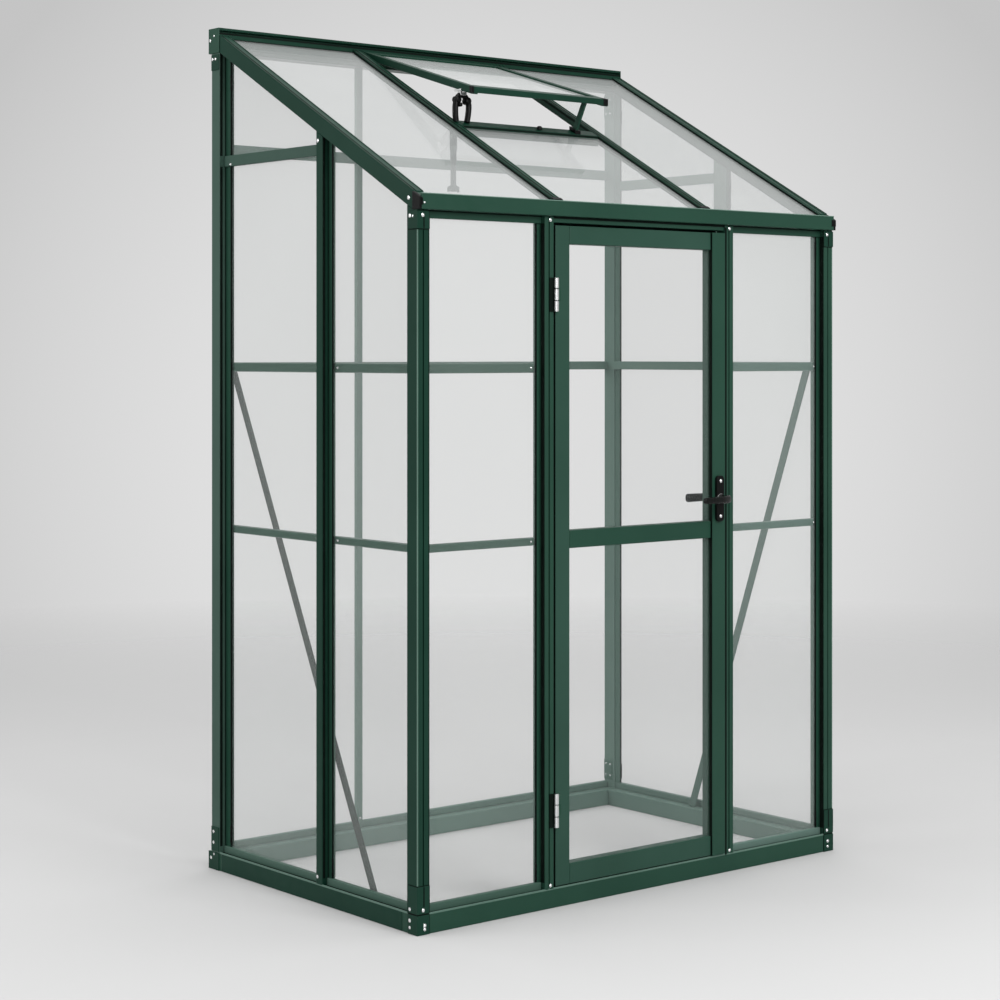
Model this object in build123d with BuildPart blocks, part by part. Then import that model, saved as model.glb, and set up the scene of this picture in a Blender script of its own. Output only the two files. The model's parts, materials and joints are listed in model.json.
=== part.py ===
from build123d import *
import math
import os

# Lean-to greenhouse. Lengths in millimetres, +Z up, front towards -Y, wall side towards +Y.
# The origin is on the ground in the middle of the whole outline, outside lever included.

# Overall sizes
width = 1300.0
depth = 825.0
handle_reach = 58.0
eave_top = 1572.0
ridge_top = 2012.0

# Base frame and its corner plates
sill_width = 54.0
sill_height = 42.0
bracket_plate = 2.0
bracket_leg = 33.0
foot_gap = 3.0
foot_height = 58.0
head_plate_height = 38.0

# Glass set back from the outer faces, and the depth of the bars from the outer face inwards
glass_inset = 20.0
glass_thick = 4.0
frame_depth = 36.0
flange_depth = 29.0

# Posts: an outer cap in front of the glass and a wider flange behind it
corner_width = 30.0
corner_depth = 36.0
cap_groove = 3.0
cap_groove_depth = 8.0
side_cap_width = 24.0
side_flange_width = 44.0
side_post_share = 0.44
back_post_width = 28.0
back_flange_reach = 6.0
back_inset = 12.0
back_mid_share = 0.331
back_mid_width = 18.0
back_mid_depth = 12.0
hinge_cap_width = 26.0
hinge_flange_reach = 9.0
latch_cap_width = 28.0
latch_flange_reach = 10.0

# Rails
bar_inset = 12.0
bottom_bar_height = 17.0
rail_depth = 12.0
mid_rail_height = 22.0
mid_rail_z = 1202.0
low_rail_height = 18.0
low_rail_z = 816.0
gable_rail_height = 26.0
gable_rail_gap = 28.0
back_upper_drop = 228.0
bay_head_height = 17.0
door_head_height = 14.0
door_head_inset = 3.0

# Flat bars across the end walls
brace_width = 22.0
brace_thick = 4.0
brace_top_z = 1200.0
brace_top_inset = 48.5
left_brace_share = 0.245
right_brace_share = 0.555

# Roof
eave_overhang = 10.0
eave_seat = 16.0
eave_bottom = 1540.0
eave_lip_drop = 3.0
eave_lip_rise = 8.0
eave_lip_thick = 5.0
end_cap = 6.0
ridge_width = 46.0
ridge_height = 60.0
ridge_step = 20.0
ridge_groove_top = 7.0
ridge_groove_height = 5.0
ridge_groove_depth = 9.0
end_rafter_drop = 41.0
mid_rafter_width = 26.0
mid_rafter_drop = 22.0
first_rafter_share = 0.312
second_rafter_share = 0.668
roof_glass_drop = 7.0

# Roof vent, standing open
vent_sill_share = 0.50
vent_sill_length = 26.0
vent_sill_drop = 26.0
vent_open_deg = 12.0
vent_side_width = 20.0
vent_side_thick = 18.0
vent_front_length = 26.0
vent_front_thick = 15.0
vent_side_gap = 2.0
vent_glass_drop = 5.0
claw_depth = 12.0
claw_leg_width = 11.0
claw_half_span = 18.0
claw_bridge = 18.0
claw_neck = 14.0
claw_neck_length = 16.0
prop_thick = 5.0
prop_width = 14.0
prop_offset = 70.0
opener_width = 17.0
opener_thick = 9.0
opener_length = 142.0
opener_wing_width = 30.0
opener_wing_height = 16.0

# Door leaf
door_left_share = 0.2992
door_width = 528.0
door_gap = 5.0
door_bottom = 47.0
door_top = 1520.0
door_depth = 28.0
stile_width = 42.0
latch_proud = 5.0
top_rail_height = 41.0
door_mid_height = 40.0
door_mid_below_handle = 73.0
bottom_rail_height = 46.0
door_glass_inset = 5.0

# Hinges
knuckle_radius = 6.0
pin_radius = 2.5
pin_clearance = 0.05
hinge_height = 76.0
hinge_upper_z = 1365.0
hinge_lower_z = 217.0
leaf_width = 20.0
leaf_thick = 2.0
knuckle_gap = 1.0

# Lever handle
handle_z = 891.0
handle_from_edge = 22.0
handle_plate_width = 28.0
handle_plate_height = 108.0
handle_plate_thick = 8.0
spindle_radius = 5.0
stile_bore_radius = 7.0
neck_radius = 8.0
lever_length = 95.0
rear_lever_length = 54.0
rear_neck_length = 22.0
lever_height = 15.0
lever_thick = 14.0
plate_gap = 1.0

# Worked-out planes
half_width = width / 2
front_y = -(depth - handle_reach) / 2
back_y = front_y + depth
wall_x = half_width - bracket_plate
wall_y = front_y + bracket_plate
post_rear_y = back_y - back_inset
ridge_y = back_y - ridge_width
eave_back_y = wall_y + eave_seat
ridge_bottom = ridge_top - ridge_height
roof_run = ridge_y - wall_y
roof_slope = (ridge_top - ridge_step - eave_top) / roof_run
roof_deg = math.degrees(math.atan(roof_slope))
glass_rear = glass_inset + glass_thick
bar_top = sill_height + bottom_bar_height
bay_head_low = eave_bottom - bay_head_height
door_head_low = eave_bottom - door_head_height
half_rafter = mid_rafter_width / 2
first_rafter_x = -half_width + first_rafter_share * width
second_rafter_x = -half_width + second_rafter_share * width
side_post_y = wall_y + side_post_share * depth
door_left = -half_width + door_left_share * width
door_right = door_left + door_width
hinge_post_right = door_left - door_gap
hinge_cap_left = hinge_post_right - hinge_cap_width
hinge_flange_left = hinge_cap_left - hinge_flange_reach
latch_post_left = door_right + door_gap
latch_cap_right = latch_post_left + latch_cap_width
latch_flange_right = latch_cap_right + latch_flange_reach
overrun = frame_depth


def block(x_from, x_to, y_from, y_to, z_from, z_to, mode=Mode.ADD):
    """A plain block between two corners."""
    middle = ((x_from + x_to) / 2, (y_from + y_to) / 2, (z_from + z_to) / 2)
    with Locations(middle):
        Box(abs(x_to - x_from), y_to - y_from, z_to - z_from, mode=mode)


def side_prism(x_from, x_to, points, mode=Mode.ADD):
    """An outline drawn on the side view, as (y, z), and carried along the width."""
    with BuildSketch(Plane.YZ.offset(min(x_from, x_to)), mode=Mode.PRIVATE) as outline:
        Polygon(*points, align=None)
    extrude(outline.sketch, amount=abs(x_to - x_from), mode=mode)


def rod(start, direction, radius, length, mode=Mode.ADD):
    """A round bar from a start point along a direction."""
    with BuildSketch(Plane(origin=start, z_dir=direction), mode=Mode.PRIVATE) as disc:
        Circle(radius)
    extrude(disc.sketch, amount=length, mode=mode)


def roof_z(y, drop=0):
    """Height of the roof line at a depth, or a drop straight below it."""
    return eave_top + roof_slope * (y - wall_y) - drop


def strip(height_at, y_from, y_to, upper_drop, lower_drop):
    """Side outline of a strip between two depths, under a sloping line."""
    return [
        (y_from, height_at(y_from, lower_drop)),
        (y_to, height_at(y_to, lower_drop)),
        (y_to, height_at(y_to, upper_drop)),
        (y_from, height_at(y_from, upper_drop)),
    ]


def upright(height_at, y_from, y_to, z_from, drop):
    """Side outline of a piece that stands on a level and ends under a sloping line."""
    return [
        (y_from, z_from),
        (y_to, z_from),
        (y_to, height_at(y_to, drop)),
        (y_from, height_at(y_from, drop)),
    ]


def centred(middle, length):
    """Lower and upper end of a length from its middle."""
    return (middle - length / 2, middle + length / 2)


def inset_x(side, near, far):
    """X positions of two depths, counted inwards from an outer side face."""
    return (side * (wall_x - near), side * (wall_x - far))


def inset_y(near, far):
    """Y positions of two depths, counted inwards from the outer front face."""
    return (wall_y + near, wall_y + far)


def save(builder, name):
    """Label one finished node and write its file."""
    builder.part.label = name
    export_step(builder.part, "parts/" + name + ".step")


os.makedirs("parts", exist_ok=True)

# Base frame: the front and back sills run the full width, the side sills fit between them
with BuildPart() as base_front_sill:
    block(-wall_x, wall_x, *inset_y(0, sill_width), 0, sill_height)
save(base_front_sill, "base_front_sill")

with BuildPart() as base_back_sill:
    block(-wall_x, wall_x, back_y - sill_width, back_y, 0, sill_height)
save(base_back_sill, "base_back_sill")

for sill_name, side in (("base_left_sill", -1), ("base_right_sill", 1)):
    with BuildPart() as side_sill:
        sill_ends = (wall_y + sill_width, back_y - sill_width)
        block(*inset_x(side, 0, sill_width), *sill_ends, 0, sill_height)
    save(side_sill, sill_name)

# Angle plates on the base corners, foot plates just above them and head plates on the post tops
foot_low = sill_height + foot_gap
foot_plate = (foot_low, foot_low + foot_height)
front_head_plate = (eave_bottom - foot_gap - head_plate_height, eave_bottom - foot_gap)
back_head_plate = (ridge_bottom - foot_gap - head_plate_height, ridge_bottom - foot_gap)
with BuildPart() as corner_brackets:
    for side in (-1, 1):
        plate_x = inset_x(side, -bracket_plate, 0)
        leg_x = inset_x(side, -bracket_plate, bracket_leg - bracket_plate)
        for heights in ((0, sill_height), foot_plate, front_head_plate):
            block(*plate_x, front_y, front_y + bracket_leg, *heights)
            block(*leg_x, front_y, wall_y, *heights)
        block(*plate_x, post_rear_y - bracket_leg, back_y, 0, sill_height)
        for heights in (foot_plate, back_head_plate):
            block(*plate_x, post_rear_y - bracket_leg, post_rear_y, *heights)
save(corner_brackets, "corner_brackets")


def front_corner_post(side):
    """A front corner post: an outer cap with a groove, a flange behind both panes, cut to fit under the roof."""
    top = roof_z(wall_y + frame_depth)
    block(*inset_x(side, 0, corner_width), *inset_y(0, corner_depth), sill_height, top)
    block(*inset_x(side, glass_rear, frame_depth), *inset_y(glass_rear, frame_depth), sill_height, top)
    groove_middle = (corner_width + bracket_plate) / 2
    groove_x = inset_x(side, *centred(groove_middle, cap_groove))
    block(*groove_x, *inset_y(-overrun, cap_groove_depth), 0, top, mode=Mode.SUBTRACT)
    rear_y = wall_y + frame_depth + overrun
    above = [
        (wall_y - overrun, eave_bottom),
        (eave_back_y, eave_bottom),
        (eave_back_y, roof_z(eave_back_y, end_rafter_drop)),
        (rear_y, roof_z(rear_y, end_rafter_drop)),
        (rear_y, ridge_top),
        (wall_y - overrun, ridge_top),
    ]
    side_prism(*inset_x(side, -overrun, frame_depth + overrun), above, mode=Mode.SUBTRACT)


for post_name, side in (("front_left_post", -1), ("front_right_post", 1)):
    with BuildPart() as front_post:
        front_corner_post(side)
    save(front_post, post_name)

# Back corner posts: the cap stands under the ridge beam, the flange runs on behind the side pane
for post_name, side in (("back_left_post", -1), ("back_right_post", 1)):
    with BuildPart() as back_post:
        block(*inset_x(side, 0, back_post_width), ridge_y, post_rear_y, sill_height, ridge_bottom)
        flange = upright(roof_z, ridge_y - back_flange_reach, ridge_y, sill_height, end_rafter_drop)
        side_prism(*inset_x(side, glass_rear, back_post_width), flange)
    save(back_post, post_name)

# Middle posts of the end walls
cap_run = centred(side_post_y, side_cap_width)
flange_run = centred(side_post_y, side_flange_width)
for post_name, side in (("left_mid_post", -1), ("right_mid_post", 1)):
    with BuildPart() as side_post:
        cap = upright(roof_z, *cap_run, sill_height, end_rafter_drop)
        flange = upright(roof_z, *flange_run, sill_height, end_rafter_drop)
        side_prism(*inset_x(side, 0, glass_rear), cap)
        side_prism(*inset_x(side, glass_rear, flange_depth), flange)
    save(side_post, post_name)

with BuildPart() as back_mid_post:
    back_mid_x = centred(-half_width + back_mid_share * width, back_mid_width)
    block(*back_mid_x, post_rear_y - back_mid_depth, post_rear_y, sill_height, ridge_bottom)
save(back_mid_post, "back_mid_post")


def door_post(cap_from, cap_to, flange_from, flange_to):
    """A door post: a grooved cap beside the door and a flange behind the pane."""
    block(cap_from, cap_to, *inset_y(0, glass_rear), sill_height, eave_bottom)
    block(flange_from, flange_to, *inset_y(glass_rear, flange_depth), sill_height, eave_bottom)
    groove_x = centred((cap_from + cap_to) / 2, cap_groove)
    block(*groove_x, *inset_y(-overrun, cap_groove_depth), 0, eave_top, mode=Mode.SUBTRACT)


with BuildPart() as door_hinge_post:
    door_post(hinge_cap_left, hinge_post_right, hinge_flange_left, hinge_post_right)
save(door_hinge_post, "door_hinge_post")

with BuildPart() as door_latch_post:
    door_post(latch_post_left, latch_cap_right, latch_post_left, latch_flange_right)
save(door_latch_post, "door_latch_post")

# Head rails of the front wall: one over each pane and one over the door
left_bay = (-wall_x + corner_width, hinge_cap_left)
right_bay = (latch_cap_right, wall_x - corner_width)
with BuildPart() as front_head_rails:
    for bay in (left_bay, right_bay):
        block(*bay, *inset_y(bar_inset, glass_rear), bay_head_low, eave_bottom)
    door_head_y = inset_y(door_head_inset, glass_rear)
    block(hinge_post_right, latch_post_left, *door_head_y, door_head_low, eave_bottom)
save(front_head_rails, "front_head_rails")

# Eave beam along the front, with a sloping top behind an upright lip, and its end caps
eave_front_y = wall_y - eave_overhang
eave_outline = upright(roof_z, eave_front_y, eave_back_y, eave_bottom, eave_lip_drop)
eave_end = half_width - end_cap
with BuildPart() as eave_beam:
    side_prism(-eave_end, eave_end, eave_outline)
    lip_y = (eave_front_y, eave_front_y + eave_lip_thick)
    block(-eave_end, eave_end, *lip_y, eave_bottom, roof_z(eave_front_y) + eave_lip_rise)
save(eave_beam, "eave_beam")

with BuildPart() as eave_end_caps:
    side_prism(-half_width, -eave_end, eave_outline)
    side_prism(eave_end, half_width, eave_outline)
save(eave_end_caps, "eave_end_caps")

# Ridge beam along the wall side, with a groove along its front, and a plate on each end
groove_high = ridge_top - ridge_groove_top
groove_low = groove_high - ridge_groove_height
with BuildPart() as ridge_beam:
    block(-wall_x, wall_x, ridge_y, back_y, ridge_bottom, ridge_top)
    groove_y = (ridge_y - overrun, ridge_y + ridge_groove_depth)
    block(-half_width, half_width, *groove_y, groove_low, groove_high, mode=Mode.SUBTRACT)
save(ridge_beam, "ridge_beam")

with BuildPart() as ridge_end_plates:
    for side in (-1, 1):
        block(*inset_x(side, -bracket_plate, 0), ridge_y, back_y, ridge_bottom, ridge_top)
save(ridge_end_plates, "ridge_end_plates")

# Rafters from the eave beam up to the ridge beam. No middle one reaches down into the head rails.
end_rafter_outline = strip(roof_z, eave_back_y, ridge_y, 0, end_rafter_drop)
for rafter_name, side in (("left_rafter", -1), ("right_rafter", 1)):
    with BuildPart() as end_rafter:
        side_prism(*inset_x(side, 0, corner_width), end_rafter_outline)
    save(end_rafter, rafter_name)

mid_rafter_outline = strip(roof_z, eave_back_y, ridge_y, 0, mid_rafter_drop)
with BuildPart() as mid_rafters:
    for rafter_x in (first_rafter_x, second_rafter_x):
        side_prism(*centred(rafter_x, mid_rafter_width), mid_rafter_outline)
    foot_cut = (wall_y, wall_y + frame_depth + overrun)
    block(-half_width, half_width, *foot_cut, sill_height, eave_bottom, mode=Mode.SUBTRACT)
save(mid_rafters, "mid_rafters")

# Rails of the end walls: bars under the panes and a gable bar at the glass, the others behind it
front_pane_run = (wall_y + corner_depth, cap_run[0])
back_pane_run = (cap_run[1], ridge_y)
front_rail_run = (wall_y + frame_depth, flange_run[0])
back_rail_run = (flange_run[1], ridge_y - back_flange_reach)
rail_far = glass_rear + rail_depth
gable_high = roof_z(cap_run[1], end_rafter_drop) - gable_rail_gap
gable_low = gable_high - gable_rail_height
mid_heights = centred(mid_rail_z, mid_rail_height)
low_heights = centred(low_rail_z, low_rail_height)
side_rails = (
    ("left_wall_rails", -1, (mid_heights, low_heights)),
    ("right_wall_rails", 1, (mid_heights,)),
)
for rails_name, side, inner_heights in side_rails:
    with BuildPart() as wall_rails:
        for run in (front_pane_run, back_pane_run):
            block(*inset_x(side, bar_inset, glass_rear), *run, sill_height, bar_top)
        block(*inset_x(side, bar_inset, glass_rear), *back_pane_run, gable_low, gable_high)
        for heights in inner_heights:
            for run in (front_rail_run, back_rail_run):
                block(*inset_x(side, glass_rear, rail_far), *run, *heights)
    save(wall_rails, rails_name)

left_rail_bay = (-wall_x + frame_depth, hinge_flange_left)
right_rail_bay = (latch_flange_right, wall_x - frame_depth)
with BuildPart() as front_wall_rails:
    for bay in (left_bay, right_bay):
        block(*bay, *inset_y(bar_inset, glass_rear), sill_height, bar_top)
    for bay in (left_rail_bay, right_rail_bay):
        for heights in (mid_heights, low_heights):
            block(*bay, *inset_y(glass_rear, rail_far), *heights)
save(front_wall_rails, "front_wall_rails")

back_left_run = (-wall_x + back_post_width, back_mid_x[0])
back_right_run = (back_mid_x[1], wall_x - back_post_width)
back_rail_y = (post_rear_y - rail_depth, post_rear_y)
back_upper_z = ridge_bottom - back_upper_drop
with BuildPart() as back_wall_rails:
    for run in (back_left_run, back_right_run):
        block(*run, *back_rail_y, sill_height, bar_top)
        block(*run, *back_rail_y, *mid_heights)
        block(*run, *back_rail_y, *centred(back_upper_z, gable_rail_height))
save(back_wall_rails, "back_wall_rails")


def brace(side, top_y, foot_y):
    """A flat bar from a post down to the sill, lying against the inside of the posts."""
    fall = brace_top_z - sill_height
    reach = brace_width / 2 * math.hypot(foot_y - top_y, fall) / fall
    outline = [
        (top_y - reach, brace_top_z),
        (top_y + reach, brace_top_z),
        (foot_y + reach, sill_height),
        (foot_y - reach, sill_height),
    ]
    side_prism(*inset_x(side, frame_depth, frame_depth + brace_thick), outline)


with BuildPart() as wall_braces:
    brace(-1, ridge_y, wall_y + left_brace_share * depth)
    brace(1, wall_y + brace_top_inset, wall_y + right_brace_share * depth)
save(wall_braces, "wall_braces")

# Panes of the end walls: the back bay is split by the gable bar
for pane_name, side in (("left_wall_glass", -1), ("right_wall_glass", 1)):
    with BuildPart() as side_panes:
        pane_x = inset_x(side, glass_inset, glass_rear)
        side_prism(*pane_x, upright(roof_z, *front_pane_run, bar_top, end_rafter_drop))
        block(*pane_x, *back_pane_run, bar_top, gable_low)
        side_prism(*pane_x, upright(roof_z, *back_pane_run, gable_high, end_rafter_drop))
    save(side_panes, pane_name)

with BuildPart() as front_wall_glass:
    for bay in (left_bay, right_bay):
        block(*bay, *inset_y(glass_inset, glass_rear), bar_top, bay_head_low)
save(front_wall_glass, "front_wall_glass")

# Roof vent sill between the middle rafters, and the roof panes
vent_sill_y = wall_y + vent_sill_share * roof_run
vent_sill_front, vent_sill_rear = centred(vent_sill_y, vent_sill_length)
vent_bay = (first_rafter_x + half_rafter, second_rafter_x - half_rafter)
with BuildPart() as vent_sill:
    side_prism(*vent_bay, strip(roof_z, vent_sill_front, vent_sill_rear, 0, vent_sill_drop))
save(vent_sill, "vent_sill")

roof_glass_low = roof_glass_drop + glass_thick
full_pane = strip(roof_z, eave_back_y, ridge_y, roof_glass_drop, roof_glass_low)
lower_pane = strip(roof_z, eave_back_y, vent_sill_front, roof_glass_drop, roof_glass_low)
with BuildPart() as roof_glass:
    side_prism(-wall_x + corner_width, first_rafter_x - half_rafter, full_pane)
    side_prism(*vent_bay, lower_pane)
    side_prism(second_rafter_x + half_rafter, wall_x - corner_width, full_pane)
save(roof_glass, "roof_glass")

# Vent sash, hung on the ridge beam and held open. Shut, its front would lie on the front of the sill.
vent_length = (ridge_y - vent_sill_front) / math.cos(math.radians(roof_deg))
vent_slope = math.tan(math.radians(roof_deg - vent_open_deg))
vent_front_y = ridge_y - vent_length * math.cos(math.radians(roof_deg - vent_open_deg))
vent_left = vent_bay[0] + vent_side_gap
vent_right = vent_bay[1] - vent_side_gap


def vent_z(y, drop=0):
    """Height of the open sash at a depth, or a drop straight below it."""
    return ridge_top - ridge_step - vent_slope * (ridge_y - y) - drop


sash_front_rear = vent_front_y + vent_front_length
sash_top_front = ridge_y - vent_front_length
vent_sides = ((vent_left, vent_left + vent_side_width), (vent_right - vent_side_width, vent_right))
with BuildPart() as vent_sash:
    for sides in vent_sides:
        side_prism(*sides, strip(vent_z, vent_front_y, ridge_y, 0, vent_side_thick))
    side_prism(vent_left, vent_right, strip(vent_z, vent_front_y, sash_front_rear, 0, vent_front_thick))
    side_prism(vent_left, vent_right, strip(vent_z, sash_top_front, ridge_y, 0, vent_side_thick))
save(vent_sash, "vent_sash")

vent_glass_run = (sash_front_rear, sash_top_front)
vent_pane = strip(vent_z, *vent_glass_run, vent_glass_drop, vent_glass_drop + glass_thick)
with BuildPart() as vent_glass:
    side_prism(vent_sides[0][1], vent_sides[1][0], vent_pane)
save(vent_glass, "vent_glass")

# Claw stay under the left rail of the sash: one leg on the rafter, one on the vent sill
claw_x = vent_left + vent_side_width / 2
claw_y = centred(vent_sill_y, claw_depth)
claw_top = vent_z(claw_y[0], vent_side_thick) - claw_neck_length
with BuildPart() as vent_claw:
    for leg_side in (-1, 1):
        leg_x = centred(claw_x + leg_side * claw_half_span, claw_leg_width)
        leg = [
            (claw_y[0], roof_z(claw_y[0])),
            (claw_y[1], roof_z(claw_y[1])),
            (claw_y[1], claw_top),
            (claw_y[0], claw_top),
        ]
        side_prism(*leg_x, leg)
    bridge_x = centred(claw_x, claw_half_span + claw_half_span)
    block(*bridge_x, *claw_y, claw_top - claw_bridge, claw_top)
    side_prism(*centred(claw_x, claw_neck), upright(vent_z, *claw_y, claw_top, vent_side_thick))
save(vent_claw, "vent_claw")

# Opener bar that hangs under the first rafter, with a wing at its foot
opener_y = centred(vent_sill_y, opener_thick)
opener_foot = roof_z(vent_sill_y, mid_rafter_drop) - opener_length
with BuildPart() as vent_opener:
    bar = upright(roof_z, *opener_y, opener_foot, mid_rafter_drop)
    side_prism(*centred(first_rafter_x, opener_width), bar)
    block(*centred(first_rafter_x, opener_wing_width), *opener_y, opener_foot, opener_foot + opener_wing_height)
save(vent_opener, "vent_opener")

# Prop on the right, from the vent sill up to the front rail of the sash
prop_x = vent_bay[1] - prop_offset
prop_foot = centred(vent_sill_y, prop_width)
prop_head = centred((vent_front_y + sash_front_rear) / 2, prop_width)
with BuildPart() as vent_prop:
    prop_outline = [
        (prop_foot[0], roof_z(prop_foot[0])),
        (prop_foot[1], roof_z(prop_foot[1])),
        (prop_head[1], vent_z(prop_head[1], vent_front_thick)),
        (prop_head[0], vent_z(prop_head[0], vent_front_thick)),
    ]
    side_prism(prop_x, prop_x + prop_thick, prop_outline)
save(vent_prop, "vent_prop")

# Door leaf
door_rear = wall_y + door_depth
hinge_stile_right = door_left + stile_width
latch_stile_left = door_right - stile_width
handle_x = door_right - handle_from_edge
latch_face = wall_y - latch_proud

with BuildPart() as door_hinge_stile:
    block(door_left, hinge_stile_right, wall_y, door_rear, door_bottom, door_top)
save(door_hinge_stile, "door_hinge_stile")

with BuildPart() as door_latch_stile:
    block(latch_stile_left, door_right, latch_face, door_rear, door_bottom, door_top)
    bore_start = (handle_x, latch_face - overrun, handle_z)
    bore_length = door_depth + latch_proud + overrun + overrun
    rod(bore_start, (0, 1, 0), stile_bore_radius, bore_length, mode=Mode.SUBTRACT)
save(door_latch_stile, "door_latch_stile")

top_rail_low = door_top - top_rail_height
bottom_rail_high = door_bottom + bottom_rail_height
door_mid_z = handle_z - door_mid_below_handle
door_mid_low, door_mid_high = centred(door_mid_z, door_mid_height)
door_rails = (
    ("door_top_rail", top_rail_low, door_top),
    ("door_mid_rail", door_mid_low, door_mid_high),
    ("door_bottom_rail", door_bottom, bottom_rail_high),
)
for rail_name, rail_low, rail_high in door_rails:
    with BuildPart() as door_rail:
        block(hinge_stile_right, latch_stile_left, wall_y, door_rear, rail_low, rail_high)
    save(door_rail, rail_name)

door_pane_y = inset_y(door_glass_inset, door_glass_inset + glass_thick)
with BuildPart() as door_glass:
    for heights in ((bottom_rail_high, door_mid_low), (door_mid_high, top_rail_low)):
        block(hinge_stile_right, latch_stile_left, *door_pane_y, *heights)
save(door_glass, "door_glass")

# Hinges: two barrels in front of the gap. The post carries the outer knuckles and the pin, the door the middle one.
pivot_x = door_left - door_gap / 2
pivot_y = wall_y - knuckle_radius
knuckle = hinge_height / 3
hinge_middles = (hinge_lower_z, hinge_upper_z)
leaf_y = (wall_y - leaf_thick, wall_y)
with BuildPart() as hinge_post_leaves:
    for middle in hinge_middles:
        low, high = centred(middle, hinge_height)
        notch_x = (pivot_x - knuckle_radius - knuckle_gap, pivot_x + overrun)
        notch_z = (low + knuckle - knuckle_gap, high - knuckle + knuckle_gap)
        block(pivot_x - leaf_width, pivot_x, *leaf_y, low, high)
        rod((pivot_x, pivot_y, low), (0, 0, 1), knuckle_radius, hinge_height)
        block(*notch_x, wall_y - overrun, wall_y + overrun, *notch_z, mode=Mode.SUBTRACT)
        rod((pivot_x, pivot_y, low), (0, 0, 1), pin_radius, hinge_height)
save(hinge_post_leaves, "hinge_post_leaves")

with BuildPart() as hinge_door_leaves:
    for middle in hinge_middles:
        low, high = centred(middle, knuckle)
        rod((pivot_x, pivot_y, low), (0, 0, 1), knuckle_radius, knuckle)
        block(pivot_x, pivot_x + leaf_width, *leaf_y, low, high)
        bore_length = knuckle + overrun + overrun
        bore_radius = pin_radius + pin_clearance
        rod((pivot_x, pivot_y, low - overrun), (0, 0, 1), bore_radius, bore_length, mode=Mode.SUBTRACT)
save(hinge_door_leaves, "hinge_door_leaves")

# Lever handle: a plate on each face of the latch stile, and both levers on one spindle
plate_front = latch_face - handle_plate_thick
plate_rear = door_rear + handle_plate_thick
plate_x = centred(handle_x, handle_plate_width)
plate_z = centred(handle_z, handle_plate_height)
with BuildPart() as handle_plates:
    for plate_y in ((plate_front, latch_face), (door_rear, plate_rear)):
        block(*plate_x, *plate_y, *plate_z)
    plate_bore = (handle_x, plate_front - overrun, handle_z)
    plate_bore_length = plate_rear - plate_front + overrun + overrun
    bore_radius = spindle_radius + pin_clearance
    rod(plate_bore, (0, 1, 0), bore_radius, plate_bore_length, mode=Mode.SUBTRACT)
save(handle_plates, "handle_plates")

lever_front = front_y - handle_reach
neck_length = plate_front - plate_gap - lever_front
rear_neck_y = plate_rear + plate_gap
lever_rear = rear_neck_y + rear_neck_length
lever_end_x = handle_x + lever_height / 2
lever_z = centred(handle_z, lever_height)
with BuildPart() as door_lever:
    rod((handle_x, lever_front, handle_z), (0, 1, 0), spindle_radius, lever_rear - lever_front)
    for neck_y, length in ((lever_front, neck_length), (rear_neck_y, rear_neck_length)):
        rod((handle_x, neck_y, handle_z), (0, 1, 0), neck_radius, length)
    for lever_y, length in ((lever_front, lever_length), (lever_rear - lever_thick, rear_lever_length)):
        block(handle_x - length, lever_end_x, lever_y, lever_y + lever_thick, *lever_z)
save(door_lever, "door_lever")
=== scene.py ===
import json
import math

import bmesh
import bpy
from mathutils import Color, Matrix, Vector


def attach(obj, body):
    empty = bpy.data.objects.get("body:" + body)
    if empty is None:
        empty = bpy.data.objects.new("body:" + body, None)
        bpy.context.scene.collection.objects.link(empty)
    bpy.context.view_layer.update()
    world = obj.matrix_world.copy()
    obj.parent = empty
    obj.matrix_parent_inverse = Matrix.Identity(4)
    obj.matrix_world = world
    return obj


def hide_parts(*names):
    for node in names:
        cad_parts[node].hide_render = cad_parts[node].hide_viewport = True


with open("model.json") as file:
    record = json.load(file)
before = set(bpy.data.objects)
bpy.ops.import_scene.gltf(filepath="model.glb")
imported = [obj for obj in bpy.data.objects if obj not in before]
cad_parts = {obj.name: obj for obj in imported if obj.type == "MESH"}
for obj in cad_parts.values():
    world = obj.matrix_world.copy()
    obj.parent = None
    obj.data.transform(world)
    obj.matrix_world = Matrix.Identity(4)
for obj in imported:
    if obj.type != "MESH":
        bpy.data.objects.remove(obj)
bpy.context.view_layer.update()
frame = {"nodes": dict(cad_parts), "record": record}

# Lean-to greenhouse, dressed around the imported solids. Lengths of the part are written in millimetres and
# turned into metres when a mesh is made. Front towards -Y, house wall towards +Y, +Z up.
MM = 0.001


class Box:
    """The low corner, the high corner and the middle of a solid."""

    def __init__(self, node):
        corners = [Vector(corner) / MM for corner in frame["nodes"][node].bound_box]
        self.low = Vector([min(values) for values in zip(*corners)])
        self.high = Vector([max(values) for values in zip(*corners)])
        self.middle = (self.low + self.high) / 2


# Lengths of the solids that their boxes don't show
eave_top = 1572.0
mid_cap_half = 12.0
gable_rail = 26.0
half_rafter = 13.0
hinge_flange = 9.0
latch_flange = 10.0
hinge_height = 76.0
pivot_proud = 6.0
sash_thick = 18.0

# Places of the walls, the eave and the roof
front_post = Box("front_right_post")
front_glass = Box("front_wall_glass")
back_post = Box("back_right_post")
back_mid_post = Box("back_mid_post")
mid_post = Box("right_mid_post")
eave = Box("eave_beam")
mid_rafters = Box("mid_rafters")
half_width = Box("eave_end_caps").high.x
wall_x = front_post.high.x
wall_y = front_post.low.y
bracket_y = Box("corner_brackets").low.y
corner_depth = front_post.high.y - wall_y
pane_end = front_glass.high.x
glass_inset = front_glass.low.y - wall_y
glass_rear = front_glass.high.y - wall_y
bar_top = front_glass.low.z
pane_zs = (bar_top, front_glass.high.z)
sill_height = Box("base_front_sill").high.z
ridge_y = Box("ridge_beam").low.y
roof_top = mid_rafters.high.z
roof_slope = (roof_top - eave_top) / (ridge_y - wall_y)
roof_glass_drop = roof_top - Box("roof_glass").high.z
mid_post_y = mid_post.middle.y
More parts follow.
